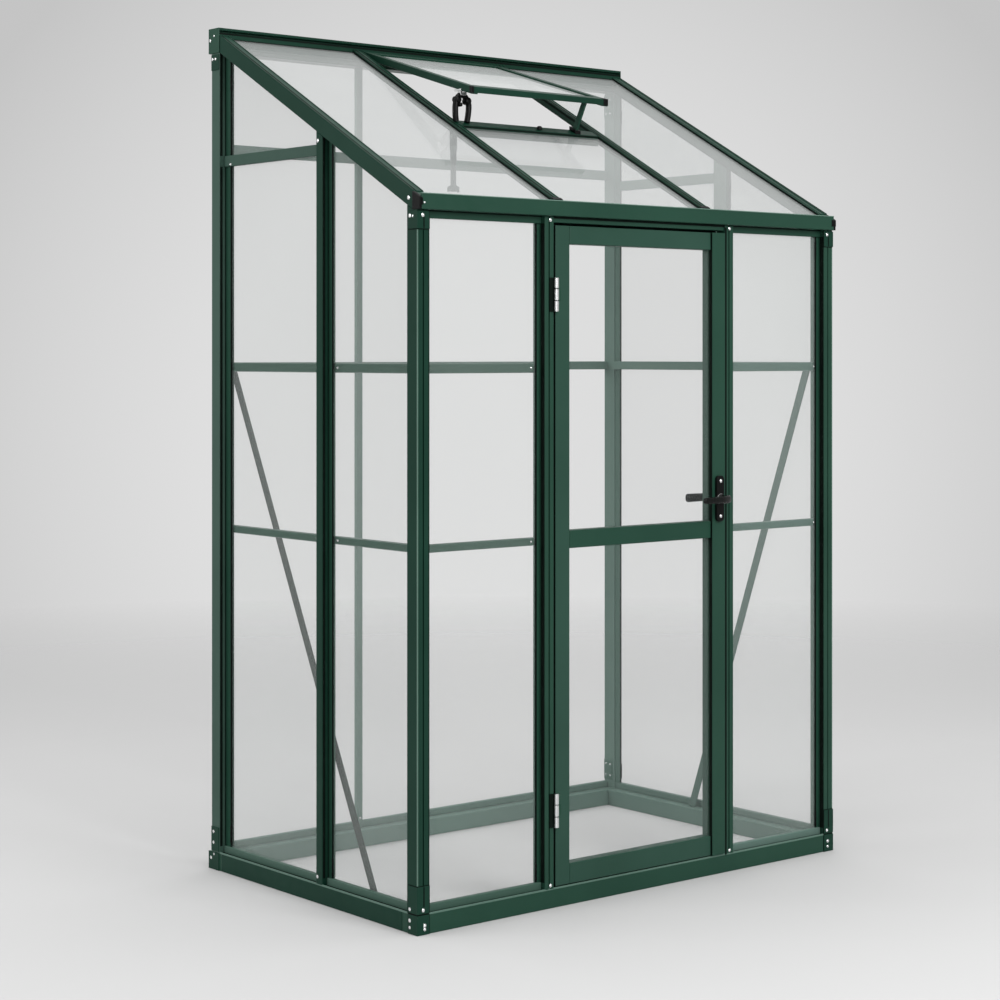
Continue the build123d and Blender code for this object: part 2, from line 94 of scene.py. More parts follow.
gable_high = Box("left_wall_rails").high.z
gable_low = gable_high - gable_rail
first_rafter_x = mid_rafters.low.x + half_rafter
second_rafter_x = mid_rafters.high.x - half_rafter

# Places of the door
hinge_stile = Box("door_hinge_stile")
latch_stile = Box("door_latch_stile")
hinge_post = Box("door_hinge_post")
latch_post = Box("door_latch_post")
handle_box = Box("handle_plates")
lever_box = Box("door_lever")
hinge_box = Box("hinge_post_leaves")
door_left = hinge_stile.low.x
door_right = latch_stile.high.x
door_bottom = hinge_stile.low.z
door_top = hinge_stile.high.z
door_rear = latch_stile.high.y
hinge_cap_left = hinge_post.low.x + hinge_flange
latch_cap_right = latch_post.high.x - latch_flange
pivot_x = (hinge_post.high.x + door_left) / 2
pivot_y = wall_y - pivot_proud
hinge_lows = (hinge_box.low.z, hinge_box.high.z - hinge_height)
handle_x = handle_box.middle.x
handle_z = handle_box.middle.z

# Places of the roof vent
sash = Box("vent_sash")
vent_sill = Box("vent_sill")
sill_y = vent_sill.middle.y
vent_slope = (roof_top - sash_thick - sash.low.z) / (ridge_y - sash.low.y)


def roof_z(y, drop=0.0):
    """Height of the roof line at a depth."""
    return eave_top + roof_slope * (y - wall_y) - drop


def vent_z(y, drop=0.0):
    """Height of the open sash at a depth."""
    return roof_top - vent_slope * (ridge_y - y) - drop


end_rafter_drop = roof_z(eave.high.y) - Box("right_rafter").low.z
mid_rafter_drop = roof_z(eave.high.y) - mid_rafters.low.z

# Materials. Lengths in them are in metres.
full_level = 255.0
white = (1.0, 1.0, 1.0, 1.0)
no_stretch = (1.0, 1.0, 1.0)
whole_span = (0.0, 1.0)
noise_span = (0.3, 0.7)
# Places of the sockets of a colour mix
mix_share, mix_first, mix_second, mix_result = 0, 6, 7, 2


def linear(colour):
    """A colour written from 0 to 255 as seen, turned into light."""
    light = Color([level / full_level for level in colour]).from_srgb_to_scene_linear()
    return (light.r, light.g, light.b, 1.0)


class Nodes:
    """A node tree with short ways to add nodes."""

    def __init__(self, tree):
        self.tree = tree

    def node(self, kind):
        return self.tree.nodes.new(kind)

    def link(self, start, end):
        self.tree.links.new(start, end)

    def feed(self, source, socket):
        """Sets a socket to a colour or a direction, or links it to another socket."""
        if isinstance(source, tuple):
            socket.default_value = source
        else:
            self.link(source, socket)

    def spread(self, value, span_in, span_out):
        """A value carried from one span to another."""
        node = self.node("ShaderNodeMapRange")
        for socket, number in zip(("From Min", "From Max", "To Min", "To Max"), (*span_in, *span_out)):
            node.inputs[socket].default_value = number
        self.link(value, node.inputs["Value"])
        return node.outputs["Result"]

    def sums(self, operation, first, second):
        node = self.node("ShaderNodeMath")
        node.operation = operation
        self.link(first, node.inputs[0])
        self.link(second, node.inputs[1])
        return node.outputs[0]

    def vectors(self, operation, result, first, second=None):
        node = self.node("ShaderNodeVectorMath")
        node.operation = operation
        self.link(first, node.inputs[0])
        if second is not None:
            self.feed(second, node.inputs[1])
        return node.outputs[result]

    def along(self, place, axis):
        """One coordinate of a place."""
        parts = self.node("ShaderNodeSeparateXYZ")
        self.link(place, parts.inputs[0])
        return parts.outputs[axis]

    def background_rays(self):
        """One for camera, glossy and transmission rays, so that metal and glass show the background too."""
        path = self.node("ShaderNodeLightPath")
        value = path.outputs["Is Camera Ray"]
        for kind in ("Is Glossy Ray", "Is Transmission Ray"):
            value = self.sums("MAXIMUM", value, path.outputs[kind])
        return value

    def blend(self, share, first, second, end):
        """One shader passing into another, linked to the end of the tree."""
        node = self.node("ShaderNodeMixShader")
        for start, socket in zip((share, first.outputs[0], second.outputs[0]), node.inputs):
            self.link(start, socket)
        self.link(node.outputs["Shader"], self.tree.nodes[end].inputs["Surface"])


class Shader(Nodes):
    """A material with one main shader."""

    def __init__(self, name):
        self.material = bpy.data.materials.new(name)
        self.material.use_nodes = True
        super().__init__(self.material.node_tree)
        self.main = self.tree.nodes["Principled BSDF"]
        self.place = self.node("ShaderNodeTexCoord").outputs["Object"]

    def noise(self, scale, detail, stretch=no_stretch):
        mapping = self.node("ShaderNodeMapping")
        mapping.inputs["Scale"].default_value = stretch
        self.link(self.place, mapping.inputs["Vector"])
        texture = self.node("ShaderNodeTexNoise")
        texture.inputs["Scale"].default_value = scale
        texture.inputs["Detail"].default_value = detail
        self.link(mapping.outputs["Vector"], texture.inputs["Vector"])
        return texture.outputs["Fac"]

    def colours(self, share, first, second):
        """One colour passing into another."""
        node = self.node("ShaderNodeMix")
        node.data_type = "RGBA"
        self.link(share, node.inputs[mix_share])
        self.feed(first, node.inputs[mix_first])
        self.feed(second, node.inputs[mix_second])
        return node.outputs[mix_result]

    def bump(self, value, strength, distance):
        node = self.node("ShaderNodeBump")
        node.inputs["Strength"].default_value = strength
        node.inputs["Distance"].default_value = distance
        self.link(value, node.inputs["Height"])
        self.give("Normal", node.outputs["Normal"])

    def give(self, socket, start):
        self.link(start, self.main.inputs[socket])

    def set(self, socket, value):
        self.main.inputs[socket].default_value = value


coat_gloss = (0.36, 0.5)
coat_grain = 1500.0
coat_sheen = 0.15
flat_share = (1.0, 1.0, 0.0)
outward_span = (0.3, 0.4)


def coat_finish(shader, gloss=coat_gloss, grain=coat_grain, sheen=coat_sheen):
    """Patchy gloss, a fine grain and a sheen."""
    shader.give("Roughness", shader.spread(shader.noise(scale=38.0, detail=3.0), noise_span, gloss))
    shader.bump(shader.noise(grain, detail=2.0), strength=0.12, distance=0.0004)
    shader.set("Specular IOR Level", sheen)
    return shader.material


def patchy_colour(shader, dark, pale):
    patches = shader.spread(shader.noise(scale=3.1, detail=4.0), noise_span, whole_span)
    return shader.colours(patches, linear(dark), linear(pale))


def paint(name, dark, pale, **coat):
    """A coated or moulded surface with patchy colour."""
    shader = Shader(name)
    shader.give("Base Color", patchy_colour(shader, dark, pale))
    return coat_finish(shader, **coat)


def split_paint(name, axis, span, first, second):
    """A coat with one colour below a place along an axis and another above it."""
    shader = Shader(name)
    share = shader.spread(shader.along(shader.place, axis), span, whole_span)
    shader.give("Base Color", shader.colours(share, linear(first), linear(second)))
    return coat_finish(shader)


def inner_paint(name, dark, pale, outer):
    """A coat that is paler on the faces that look into the greenhouse than on its outer faces: the paler
    colour is painted reflection from the glass that those faces are seen through.
    """
    shader = Shader(name)
    flat = shader.vectors("MULTIPLY", "Vector", shader.place, flat_share)
    normal = shader.node("ShaderNodeNewGeometry").outputs["Normal"]
    facing_out = shader.vectors("DOT_PRODUCT", "Value", flat, normal)
    share = shader.spread(facing_out, outward_span, whole_span)
    shader.give("Base Color", shader.colours(share, patchy_colour(shader, dark, pale), linear(outer)))
    return coat_finish(shader)


def metal(name, dark, pale, gloss):
    """Bare metal with fine drawn lines, from a dark gray to a pale one."""
    shader = Shader(name)
    lines = shader.noise(scale=260.0, detail=2.0, stretch=(1.0, 1.0, 0.08))
    shader.give("Base Color", shader.colours(lines, (*dark, 1.0), (*pale, 1.0)))
    shader.give("Roughness", shader.spread(lines, noise_span, gloss))
    shader.bump(lines, strength=0.08, distance=0.0003)
    shader.set("Metallic", 1.0)
    return shader.material


# Film on the glass: random patches of dust, and painted reflection that rises towards the top and where the
# glass is seen edge on
reflection_heights = (0.5, 1.4)
film_shares = (0.85, 1.15)
edge_reflection = (0.0, 0.2)


def clear_glass(name, haze_and_reflection, dark, pale):
    """Clear glass with a faint film, partly dust in random patches and partly painted reflection: the film
    rises towards the top and hides more where the glass is seen edge on, both as painted reflection.
    """
    shader = Shader(name)
    film_and_reflection = shader.spread(shader.along(shader.place, "Z"), reflection_heights, haze_and_reflection)
    patches = shader.noise(scale=1.6, detail=3.0, stretch=(1.0, 1.0, 0.35))
    film_and_reflection = shader.sums("MULTIPLY", film_and_reflection, shader.spread(patches, noise_span, film_shares))
    facing = shader.node("ShaderNodeLayerWeight")
    facing.inputs["Blend"].default_value = 0.25
    edge = shader.spread(facing.outputs["Fresnel"], whole_span, edge_reflection)
    shader.give("Alpha", shader.sums("ADD", film_and_reflection, edge))
    patches = shader.noise(scale=2.3, detail=2.0)
    shader.give("Base Color", shader.colours(patches, linear(dark), linear(pale)))
    shader.set("Roughness", 0.05)
    shader.set("Specular IOR Level", 0.6)
    return shader.material


fine_grain = 1800.0
rubber_grain = 2400.0
satin_gloss = (0.34, 0.48)
rail_veil_heights = (1.4, 1.6)
left_to_right = (-0.3, 0.3)
glass_tints = ((178, 184, 182), (188, 193, 191))
green = paint("green_coat", (25, 56, 44), (32, 64, 51), gloss=satin_gloss)
# Paler copy of the coat for parts seen through the glass: painted reflection from the glass in front of them
green_veiled = paint("green_coat_painted_veil", (68, 92, 83), (77, 100, 91), gloss=(0.4, 0.55))
# Darker copy of the coat for the rafters, their ribs, the sash, the vent sill and the ridge: painted shade on
# the sloping members
green_roof_shaded = paint("green_coat_roof_painted_shade", (10, 42, 30), (16, 50, 38), gloss=(0.28, 0.4), sheen=0.14)
# Darker copy of the coat for the left end members, the front left post and the corner brackets: painted shade
# on their left-facing sides
green_left_shaded = paint("green_coat_left_painted_shade", (15, 46, 35), (21, 52, 41), gloss=(0.32, 0.46), sheen=0.1)
# Pale copy of the coat for the lips and the corner beads: a painted highlight along the edges
green_highlight = paint("green_coat_painted_highlight", (72, 98, 87), (82, 108, 97), gloss=(0.3, 0.45), sheen=0.3)
# Left end wall rails paler than the coat, most below 1.4 m: painted reflection from the glass in front of
# them
green_rail_veiled = split_paint("green_coat_rails_painted_veil", "Z", rail_veil_heights, (64, 88, 78), (50, 73, 64))
# Paler copy of the coat for the back left post and the door's pane beads: painted sheen
green_lit = paint("green_coat_painted_sheen", (50, 73, 64), (57, 80, 71))
# Back and right end members: paler inner faces, painted reflection from the glass in front of them
green_inner_veiled = inner_paint("green_coat_inner_painted_veil", (82, 104, 96), (91, 113, 104), outer=(28, 60, 47))
# Slightly paler copy of the coat for the door's stiles and rails: painted light
green_door_lit = paint("green_coat_door_painted_light", (33, 61, 50), (40, 69, 58), gloss=satin_gloss)
# Braces dark on the left end, painted shade, and pale on the right end, painted reflection from the glass in
# front of them
green_brace_shade_and_veil = split_paint("green_coat_braces_painted_shade_and_veil", "X", left_to_right, (7, 26, 18), (82, 103, 95))
# Front wall rails paler than the coat, more so on the right: painted reflection from the glass in front of
# them
green_bays_veiled = split_paint("green_coat_bays_painted_veil", "X", left_to_right, (57, 81, 71), (84, 106, 98))
black = paint("black_plastic", (4, 5, 5), (9, 10, 10), gloss=(0.3, 0.45), grain=fine_grain, sheen=0.12)
lever_black = paint("lever_black", (5, 7, 6), (10, 12, 11), gloss=(0.2, 0.32), grain=fine_grain, sheen=0.16)
# Dark rubber for the seals, used also for strips of painted shade in gaps, grooves and recesses
rubber_and_shade = paint("dark_rubber_and_painted_shade", (3, 12, 8), (6, 16, 11), gloss=(0.6, 0.8), grain=rubber_grain, sheen=0.08)
zinc = metal("bright_zinc", (0.72, 0.73, 0.73), (0.92, 0.92, 0.92), gloss=(0.16, 0.32))
steel = metal("hinge_steel", (0.55, 0.55, 0.55), (0.82, 0.82, 0.82), gloss=(0.22, 0.38))
opener_look = paint("gray_tube", (34, 44, 40), (44, 54, 50), gloss=(0.35, 0.5), sheen=0.35)
glass = clear_glass("clear_glass", (0.02, 0.045), *glass_tints)
front_pane = clear_glass("front_pane", (0.05, 0.1), *glass_tints)
door_pane = clear_glass("door_pane", (0.025, 0.025), (160, 166, 164), (172, 178, 176))
# Roof and vent panes: a thick film that is painted reflection of the bright sky, with some dust
roof_pane = clear_glass("roof_pane", (0.28, 0.28), (166, 169, 168), (174, 177, 176))
vent_pane = clear_glass("vent_pane", (0.58, 0.58), (196, 199, 198), (204, 207, 206))

# Materials and soft edges of the solids
node_looks = {
    "green_frame": green,
    "glass": glass,
    "black_fittings": black,
    "hinge_metal": steel,
}
special_rows = (
    (roof_pane, ("roof_glass",)),
    (vent_pane, ("vent_glass",)),
    (front_pane, ("front_wall_glass",)),
    (door_pane, ("door_glass",)),
    (green_left_shaded, ("left_rafter", "left_mid_post", "base_left_sill", "front_left_post", "corner_brackets")),
    (green_roof_shaded, ("right_rafter", "mid_rafters", "vent_sash", "vent_sill", "ridge_beam")),
    (green_rail_veiled, ("left_wall_rails",)),
    (green_bays_veiled, ("front_wall_rails",)),
    (green_brace_shade_and_veil, ("wall_braces",)),
    (green_lit, ("back_left_post",)),
    (green_door_lit, ("door_hinge_stile", "door_top_rail", "door_bottom_rail")),
    (green_inner_veiled, ("back_right_post", "back_mid_post", "back_wall_rails", "base_back_sill")),
    (green_inner_veiled, ("base_right_sill", "right_mid_post", "right_wall_rails")),
)
special_looks = {node: look for look, nodes in special_rows for node in nodes}
slot_edges = {"green_frame": 1.8, "black_fittings": 0.6, "hinge_metal": 0.6}


def round_edges(obj, width):
    """Rounded edges, added as a modifier."""
    edge = obj.modifiers.new("edge", "BEVEL")
    edge.width = width * MM
    edge.segments = 2
    edge.limit_method = "ANGLE"
    edge.angle_limit = math.radians(35.0)


def soften(obj, width):
    """Rounded edges on a solid, by modifiers alone, so that its own mesh stays as it is."""
    obj.modifiers.new("join", "WELD").merge_threshold = 0.01 * MM
    flat = obj.modifiers.new("flat", "DECIMATE")
    flat.decimate_type = "DISSOLVE"
    flat.angle_limit = math.radians(1.0)
    round_edges(obj, width)


for row in frame["record"]["subparts"]:
    obj = frame["nodes"][row["node"]]
    slot = row["material_slot"]
    obj.data.materials.clear()
    obj.data.materials.append(special_looks.get(row["node"], node_looks[slot]))
    if slot in slot_edges:
        soften(obj, slot_edges[slot])


# Mesh helpers. Each one that adds a shape adds it to an open mesh, in millimetres.
def add_box(mesh, x_from, x_to, y_from, y_to, z_from, z_to):
    """A plain block."""
    size = Vector((abs(x_to - x_from), abs(y_to - y_from), abs(z_to - z_from)))
    middle = Vector(((x_from + x_to) / 2, (y_from + y_to) / 2, (z_from + z_to) / 2))
    place = Matrix.Translation(middle) @ Matrix.Diagonal((size.x, size.y, size.z, 1.0))
    bmesh.ops.create_cube(mesh, size=1.0, matrix=place)


def add_skin(mesh, rings):
    """Faces between rings of points, with both ends closed."""
    count = len(rings[0])
    for lower, upper in zip(rings, rings[1:]):
        for i in range(count):
            j = (i + 1) % count
            mesh.faces.new((lower[i], lower[j], upper[j], upper[i]))
    mesh.faces.new(tuple(reversed(rings[0])))
    mesh.faces.new(tuple(rings[-1]))


def add_prism(mesh, axis, start, end, outline):
    """An outline carried along X or Y. The outline holds the two other coordinates in order."""
    rings = []
    for along in (start, end):
        if axis == "X":
            points = [(along, first, second) for first, second in outline]
        else:
            points = [(first, along, second) for first, second in outline]
        rings.append([mesh.verts.new(point) for point in points])
    add_skin(mesh, rings)


def turn_angles(sides):
    """Evenly spaced angles of one turn."""
    return [2.0 * math.pi * i / sides for i in range(sides)]


def add_turned(mesh, origin, direction, steps, sides=20):
    """A round piece along a direction, from steps of (distance, radius)."""
    turn = Vector(direction).normalized().to_track_quat("Z", "Y").to_matrix()
    rings = []
    for along, radius in steps:
        ring = []
        for angle in turn_angles(sides):
            point = Vector((radius * math.cos(angle), radius * math.sin(angle), along))
            ring.append(mesh.verts.new(Vector(origin) + turn @ point))
        rings.append(ring)
    add_skin(mesh, rings)


# Steps of a bolt as (height, share of its radius)
head_rows = ((-0.4, 1.0), (0.7, 1.0), (0.9, 0.93), (0.9, 0.72), (1.9, 0.72), (2.5, 0.58), (2.7, 0.36))
head_sides = 18
boss_rows = ((2.5, 0.32), (3.2, 0.32), (3.3, 0.26))
boss_sides = 6


def add_bolt(mesh, origin, direction, radius, rise_share=1.0):
    """A washer and a domed head with a small hexagon boss, lowered by the share of its rise."""
    for rows, sides in ((head_rows, head_sides), (boss_rows, boss_sides)):
        steps = [(along * rise_share, radius * size_share) for along, size_share in rows]
        add_turned(mesh, origin, direction, steps, sides)


def add_slope(mesh, x_from, x_to, y_from, y_to, upper_drop, lower_drop, height_at=roof_z):
    """A strip that follows the roof, between two drops below its line."""
    outline = [
        (y_from, height_at(y_from, lower_drop)),
        (y_to, height_at(y_to, lower_drop)),
        (y_to, height_at(y_to, upper_drop)),
        (y_from, height_at(y_from, upper_drop)),
    ]
    add_prism(mesh, "X", x_from, x_to, outline)


def smooth_path(points, steps=6):
    """A rounded line through the given points."""
    points = [Vector(point) for point in points]
    padded = [points[0]] + points + [points[-1]]
    out = []
    for before, start, end, after in zip(padded, padded[1:], padded[2:], padded[3:]):
        for i in range(steps):
            t = i / steps
            bend = 2.0 * start + (end - before) * t
            bend += (2.0 * before - 5.0 * start + 4.0 * end - after) * t * t
            bend += (3.0 * start - before - 3.0 * end + after) * t * t * t
            out.append(bend / 2.0)
    return out + [points[-1]]


def add_tube(mesh, points, radius, sides=14):
    """A round bar along a line of points."""
    rings = []
    normal = None
    for i, point in enumerate(points):
        along = (points[min(i + 1, len(points) - 1)] - points[max(i - 1, 0)]).normalized()
        if normal is None:
            normal = along.orthogonal().normalized()
        normal = (normal - along * normal.dot(along)).normalized()
        across = along.cross(normal)
        ring = []
        for angle in turn_angles(sides):
            arm = math.cos(angle) * normal + math.sin(angle) * across
            ring.append(mesh.verts.new(point + radius * arm))
        rings.append(ring)
    add_skin(mesh, rings)


def rounded_outline(half_first, half_second, radius, steps=6):
    """Corner points of a rectangle with round corners, around zero."""
    out = []
    for k, (first, second) in enumerate(((1, 1), (-1, 1), (-1, -1), (1, -1))):
        for i in range(steps + 1):
            angle = math.pi / 2 * (k + i / steps)
            out.append((
                first * (half_first - radius) + radius * math.cos(angle),
                second * (half_second - radius) + radius * math.sin(angle),
            ))
    return out


def finish(name, mesh, material, body="frame", slot="green_frame", edge=0.0, smooth_deg=0.0, replaces=()):
    """Turns an open mesh into a piece that rides on a body."""
    bmesh.ops.recalc_face_normals(mesh, faces=mesh.faces)
    bmesh.ops.scale(mesh, vec=(MM, MM, MM), verts=mesh.verts)
    data = bpy.data.meshes.new(name)
    mesh.to_mesh(data)
    mesh.free()
    if smooth_deg:
        data.shade_smooth()
        data.set_sharp_from_angle(angle=math.radians(smooth_deg))
    obj = bpy.data.objects.new(name, data)
    bpy.context.scene.collection.objects.link(obj)
    data.materials.append(material)
    if edge:
        round_edges(obj, edge)
    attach(obj, body)
    if replaces:
        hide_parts(*replaces)


# Floor, in metres. Away from the part it lets the background show.
floor_fade = (2.2, 6.0)
floor_colour = (179, 179, 179)
floor_mesh = bmesh.new()
bmesh.ops.create_circle(floor_mesh, cap_ends=True, segments=96, radius=30.0)
floor_data = bpy.data.meshes.new("floor")
floor_mesh.to_mesh(floor_data)
floor_mesh.free()
floor = bpy.data.objects.new("floor", floor_data)
bpy.context.scene.collection.objects.link(floor)
ground = Shader("pale_floor")
ground.set("Base Color", linear(floor_colour))
ground.set("Roughness", 0.7)
ground.set("Specular IOR Level", 0.2)
fade = ground.spread(ground.vectors("LENGTH", "Value", ground.place), floor_fade, whole_span)
away = ground.sums("MULTIPLY", fade, ground.background_rays())
ground.blend(away, ground.main, ground.node("ShaderNodeBsdfTransparent"), "Material Output")
floor_data.materials.append(ground.material)

# World: light that grows with height, and a plain gray background that is brightest behind the part
light_heights = (0.0, 0.9)
light_levels = (0.3, 1.15)
bright_heading = (0.636, 0.771, -0.045)
bright_span = (0.962, 0.992)
background_levels = (0.555, 0.735)
world = bpy.data.worlds.new("studio")
bpy.context.scene.world = world
world.use_nodes = True
sky = Nodes(world.node_tree)
heading = sky.node("ShaderNodeTexCoord").outputs["Generated"]
light = sky.tree.nodes["Background"]
plain = sky.node("ShaderNodeBackground")
height = sky.along(heading, "Z")
toward = sky.vectors("DOT_PRODUCT", "Value", heading, bright_heading)
levels = ((light, height, light_heights, light_levels), (plain, toward, bright_span, background_levels))
for background, value, span, strengths in levels:
    background.inputs["Color"].default_value = white
    sky.link(sky.spread(value, span, strengths), background.inputs["Strength"])
sky.blend(sky.background_rays(), light, plain, "World Output")


def add_lamp(name, place, aim, width, watts, height=None):
    """A soft lamp, square or tall, in metres."""
    data = bpy.data.lights.new(name, "AREA")
    data.size = width
    if height:
        data.shape = "RECTANGLE"
        data.size_y = height
    data.energy = watts
    lamp = bpy.data.objects.new(name, data)
    lamp.location = place
    lamp.rotation_euler = (Vector(aim) - Vector(place)).to_track_quat("-Z", "Y").to_euler()
    bpy.context.scene.collection.objects.link(lamp)


add_lamp("key", place=(-0.2, -4.4, 3.4), aim=(0.0, -0.4, 1.2), width=2.4, watts=165.0)
add_lamp("left_fill", place=(-4.2, 1.6, 2.6), aim=(-0.6, 0.4, 1.5), width=2.2, watts=80.0)
add_lamp("edge_strip", place=(-4.4, -5.2, 1.5), aim=(0.0, 0.0, 1.1), width=0.4, watts=50.0, height=2.4)
add_lamp("top", place=(0.2, 0.0, 5.2), aim=(0.0, 0.0, 0.0), width=4.0, watts=120.0)

# Camera: level, with the picture shifted down as in the photograph
picture_side = 1000.0
focal_pixels = 2239.8
horizon_row = 354.1
camera_turn = -0.689
camera_data = bpy.data.cameras.new("camera")
camera_data.sensor_width = 36.0
camera_data.lens = camera_data.sensor_width * focal_pixels / picture_side
camera_data.shift_y = (horizon_row - picture_side / 2) / picture_side
camera_data.clip_end = 100.0
camera = bpy.data.objects.new("camera", camera_data)
camera.location = (-3.5281, -4.1534, 1.2328)
camera.rotation_euler = (math.pi / 2, 0.0, camera_turn)
bpy.context.scene.collection.objects.link(camera)
bpy.context.scene.camera = camera
bpy.context.scene.view_settings.view_transform = "Standard"

# The two ends of the greenhouse, and directions seen from the front
ends = (-1, 1)
outward = (0, -1, 0)
inward = (0, 1, 0)
upward = (0, 0, 1)
downward = (0, 0, -1)



def end_span(side, near, far):
    """A stretch of X at one end, between two depths behind its wall."""
    return side * (wall_x - near), side * (wall_x - far)


def front_span(near, far):
    """A stretch of Y between two depths behind the front."""
    return wall_y + near, wall_y + far


# Glazing beads beside the posts, seals along the beads, and strips of painted shade on the posts' sides and,
# on the end walls, in the corner by each bead
bead_near = 17.0
seal_near = 17.8
seal_width = 3.0
# Strips of painted shade on the posts' sides and in the corner by each bead
shade_strip_thick = 1.0
shade_strip_near = 1.8
front_shade_strip_far = 13.0
side_shade_strip_far = 8.0
corner_shade_line = 1.5
wide_bead = 13.0
narrow_bead = 9.0
back_bead = 21.0
beads = bmesh.new()
seals_and_shade = bmesh.new()


def front_bead(x_cap, reach):
    """A bead on a front pane from a post's side, with its seal and a strip of painted shade on the post's
    side.
    """
    x_edge = x_cap + reach
    step = math.copysign(1.0, reach)
    add_box(beads, x_cap, x_edge, *front_span(bead_near, glass_inset), *pane_zs)
    seal_ys = front_span(seal_near, glass_inset)
    add_box(seals_and_shade, x_edge, x_edge + step * seal_width, *seal_ys, *pane_zs)
    shade_strip_ys = front_span(shade_strip_near, front_shade_strip_far)
    add_box(seals_and_shade, x_cap, x_cap + step * shade_strip_thick, *shade_strip_ys, *pane_zs)


def side_run(mesh, side, near, far, y_from, y_to, z_from, z_to=None):
    """A strip of an end wall between two depths, up to a level or up to the rafter."""
    low, high = min(y_from, y_to), max(y_from, y_to)
    if z_to is None:
        top = [(high, roof_z(high, end_rafter_drop)), (low, roof_z(low, end_rafter_drop))]
    else:
        top = [(high, z_to), (low, z_to)]
    outline = [(low, z_from), (high, z_from)] + top
    add_prism(mesh, "X", *end_span(side, near, far), outline)


def side_bead(side, y_cap, reach, z_from, z_to=None):
    """A bead on an end wall pane, with its seal and two strips of painted shade on the post, one on its side
    and one in the corner by the bead.
    """
    y_edge = y_cap + reach
    step = math.copysign(1.0, reach)
    y_shade_strip = y_cap + step * shade_strip_thick
    side_run(beads, side, bead_near, glass_inset, y_cap, y_edge, z_from, z_to)
    side_run(seals_and_shade, side, seal_near, glass_inset, y_edge, y_edge + step * seal_width, z_from, z_to)
    side_run(seals_and_shade, side, shade_strip_near, side_shade_strip_far, y_cap, y_shade_strip, z_from, z_to)
    side_run(seals_and_shade, side, bead_near - corner_shade_line, bead_near, y_cap, y_shade_strip, z_from, z_to)


front_bead(-pane_end, wide_bead)
front_bead(hinge_cap_left, -narrow_bead)
front_bead(latch_cap_right, narrow_bead)
front_bead(pane_end, -narrow_bead)
for side in ends:
    side_bead(side, wall_y + corner_depth, wide_bead, bar_top)
    side_bead(side, mid_post_y - mid_cap_half, -wide_bead, bar_top)
    for z_from, z_to in ((bar_top, gable_low), (gable_high, None)):
        side_bead(side, mid_post_y + mid_cap_half, wide_bead, z_from, z_to)
        side_bead(side, ridge_y, -back_bead, z_from, z_to)
finish("glazing_beads", beads, green, edge=0.5)
finish("glazing_seals_and_painted_shade", seals_and_shade, rubber_and_shade, slot="black_fittings")

# Bolts on the end walls and on the front, by the depth of the face that they stand on behind the wall.
# Each is (place along the wall, height, radius).
plate_proud = -2.0
eave_proud = -10.0
cap_face = 0.0
bar_face = 12.0
low_rise_share = 0.3
side_bolts = {
    plate_proud: (
        (-357.0, 29.0, 4.2), (-357.0, 14.0, 3.6), (-357.0, 53.0, 4.0), (-357.0, 1527.0, 4.2),
        (-367.0, 1526.0, 2.6), (434.0, 1984.0, 4.0), (417.0, 1994.0, 2.6), (424.0, 1938.0, 3.8),
        (411.0, 1938.0, 3.4), (419.0, 91.0, 4.0), (419.0, 65.0, 4.0), (430.0, 27.0, 4.0), (417.0, 37.0, 2.8),
    ),
    cap_face: ((-350.0, 1566.0, 4.4), (-13.0, 1712.0, 4.2), (-12.0, 60.0, 4.0)),
    bar_face: ((365.0, 1684.0, 3.2),),
}
front_bolts = {
    plate_proud: (
        (-630.0, 20.0, 4.2), (-630.0, 12.0, 3.6), (-634.0, 53.0, 4.0), (-635.0, 1528.0, 4.2),
        (627.0, 1529.0, 4.2), (629.0, 26.0, 4.2), (629.0, 13.0, 3.4), (626.0, 53.0, 4.0),
    ),
    eave_proud: ((-637.0, 1554.0, 2.2),),
    cap_face: ((-276.0, 1531.0, 4.2), (-276.0, 51.0, 4.0), (287.0, 1532.0, 4.2), (287.0, 51.0, 4.0)),
}
# Bolts on the rails behind the glass, as (z, the ends that have a rail there)
rail_face = 23.4
rail_bolt = 2.6
rail_rows = ((1202.0, ends), (816.0, ends[:1]))
side_rail_ys = (-337.0, -58.0, 22.0, 380.0)
front_rail_xs = (-606.0, -313.0, 316.0, 606.0)
# Bolts on the back middle post
back_bolt = 3.2
back_bolt_heights = (66.0, 1198.0, 1716.0)
bolts = bmesh.new()
for depth, rows in side_bolts.items():
    rise_share = low_rise_share if depth <= cap_face else 1.0
    for y, z, radius in rows:
        for side in ends:
            add_bolt(bolts, (side * (wall_x - depth), y, z), (side, 0, 0), radius, rise_share)
for depth, rows in front_bolts.items():
    for x, z, radius in rows:
        add_bolt(bolts, (x, wall_y + depth, z), outward, radius)
for z, rail_ends in rail_rows:
    for y in side_rail_ys:
        for side in rail_ends:
            add_bolt(bolts, (side * (wall_x - rail_face), y, z), (side, 0, 0), rail_bolt)
    for x in front_rail_xs:
        add_bolt(bolts, (x, wall_y + rail_face, z), outward, rail_bolt)
for z in back_bolt_heights:
    add_bolt(bolts, (back_mid_post.middle.x, back_mid_post.low.y, z), outward, back_bolt)
finish("frame_bolts", bolts, zinc, slot="hinge_metal", smooth_deg=40.0)

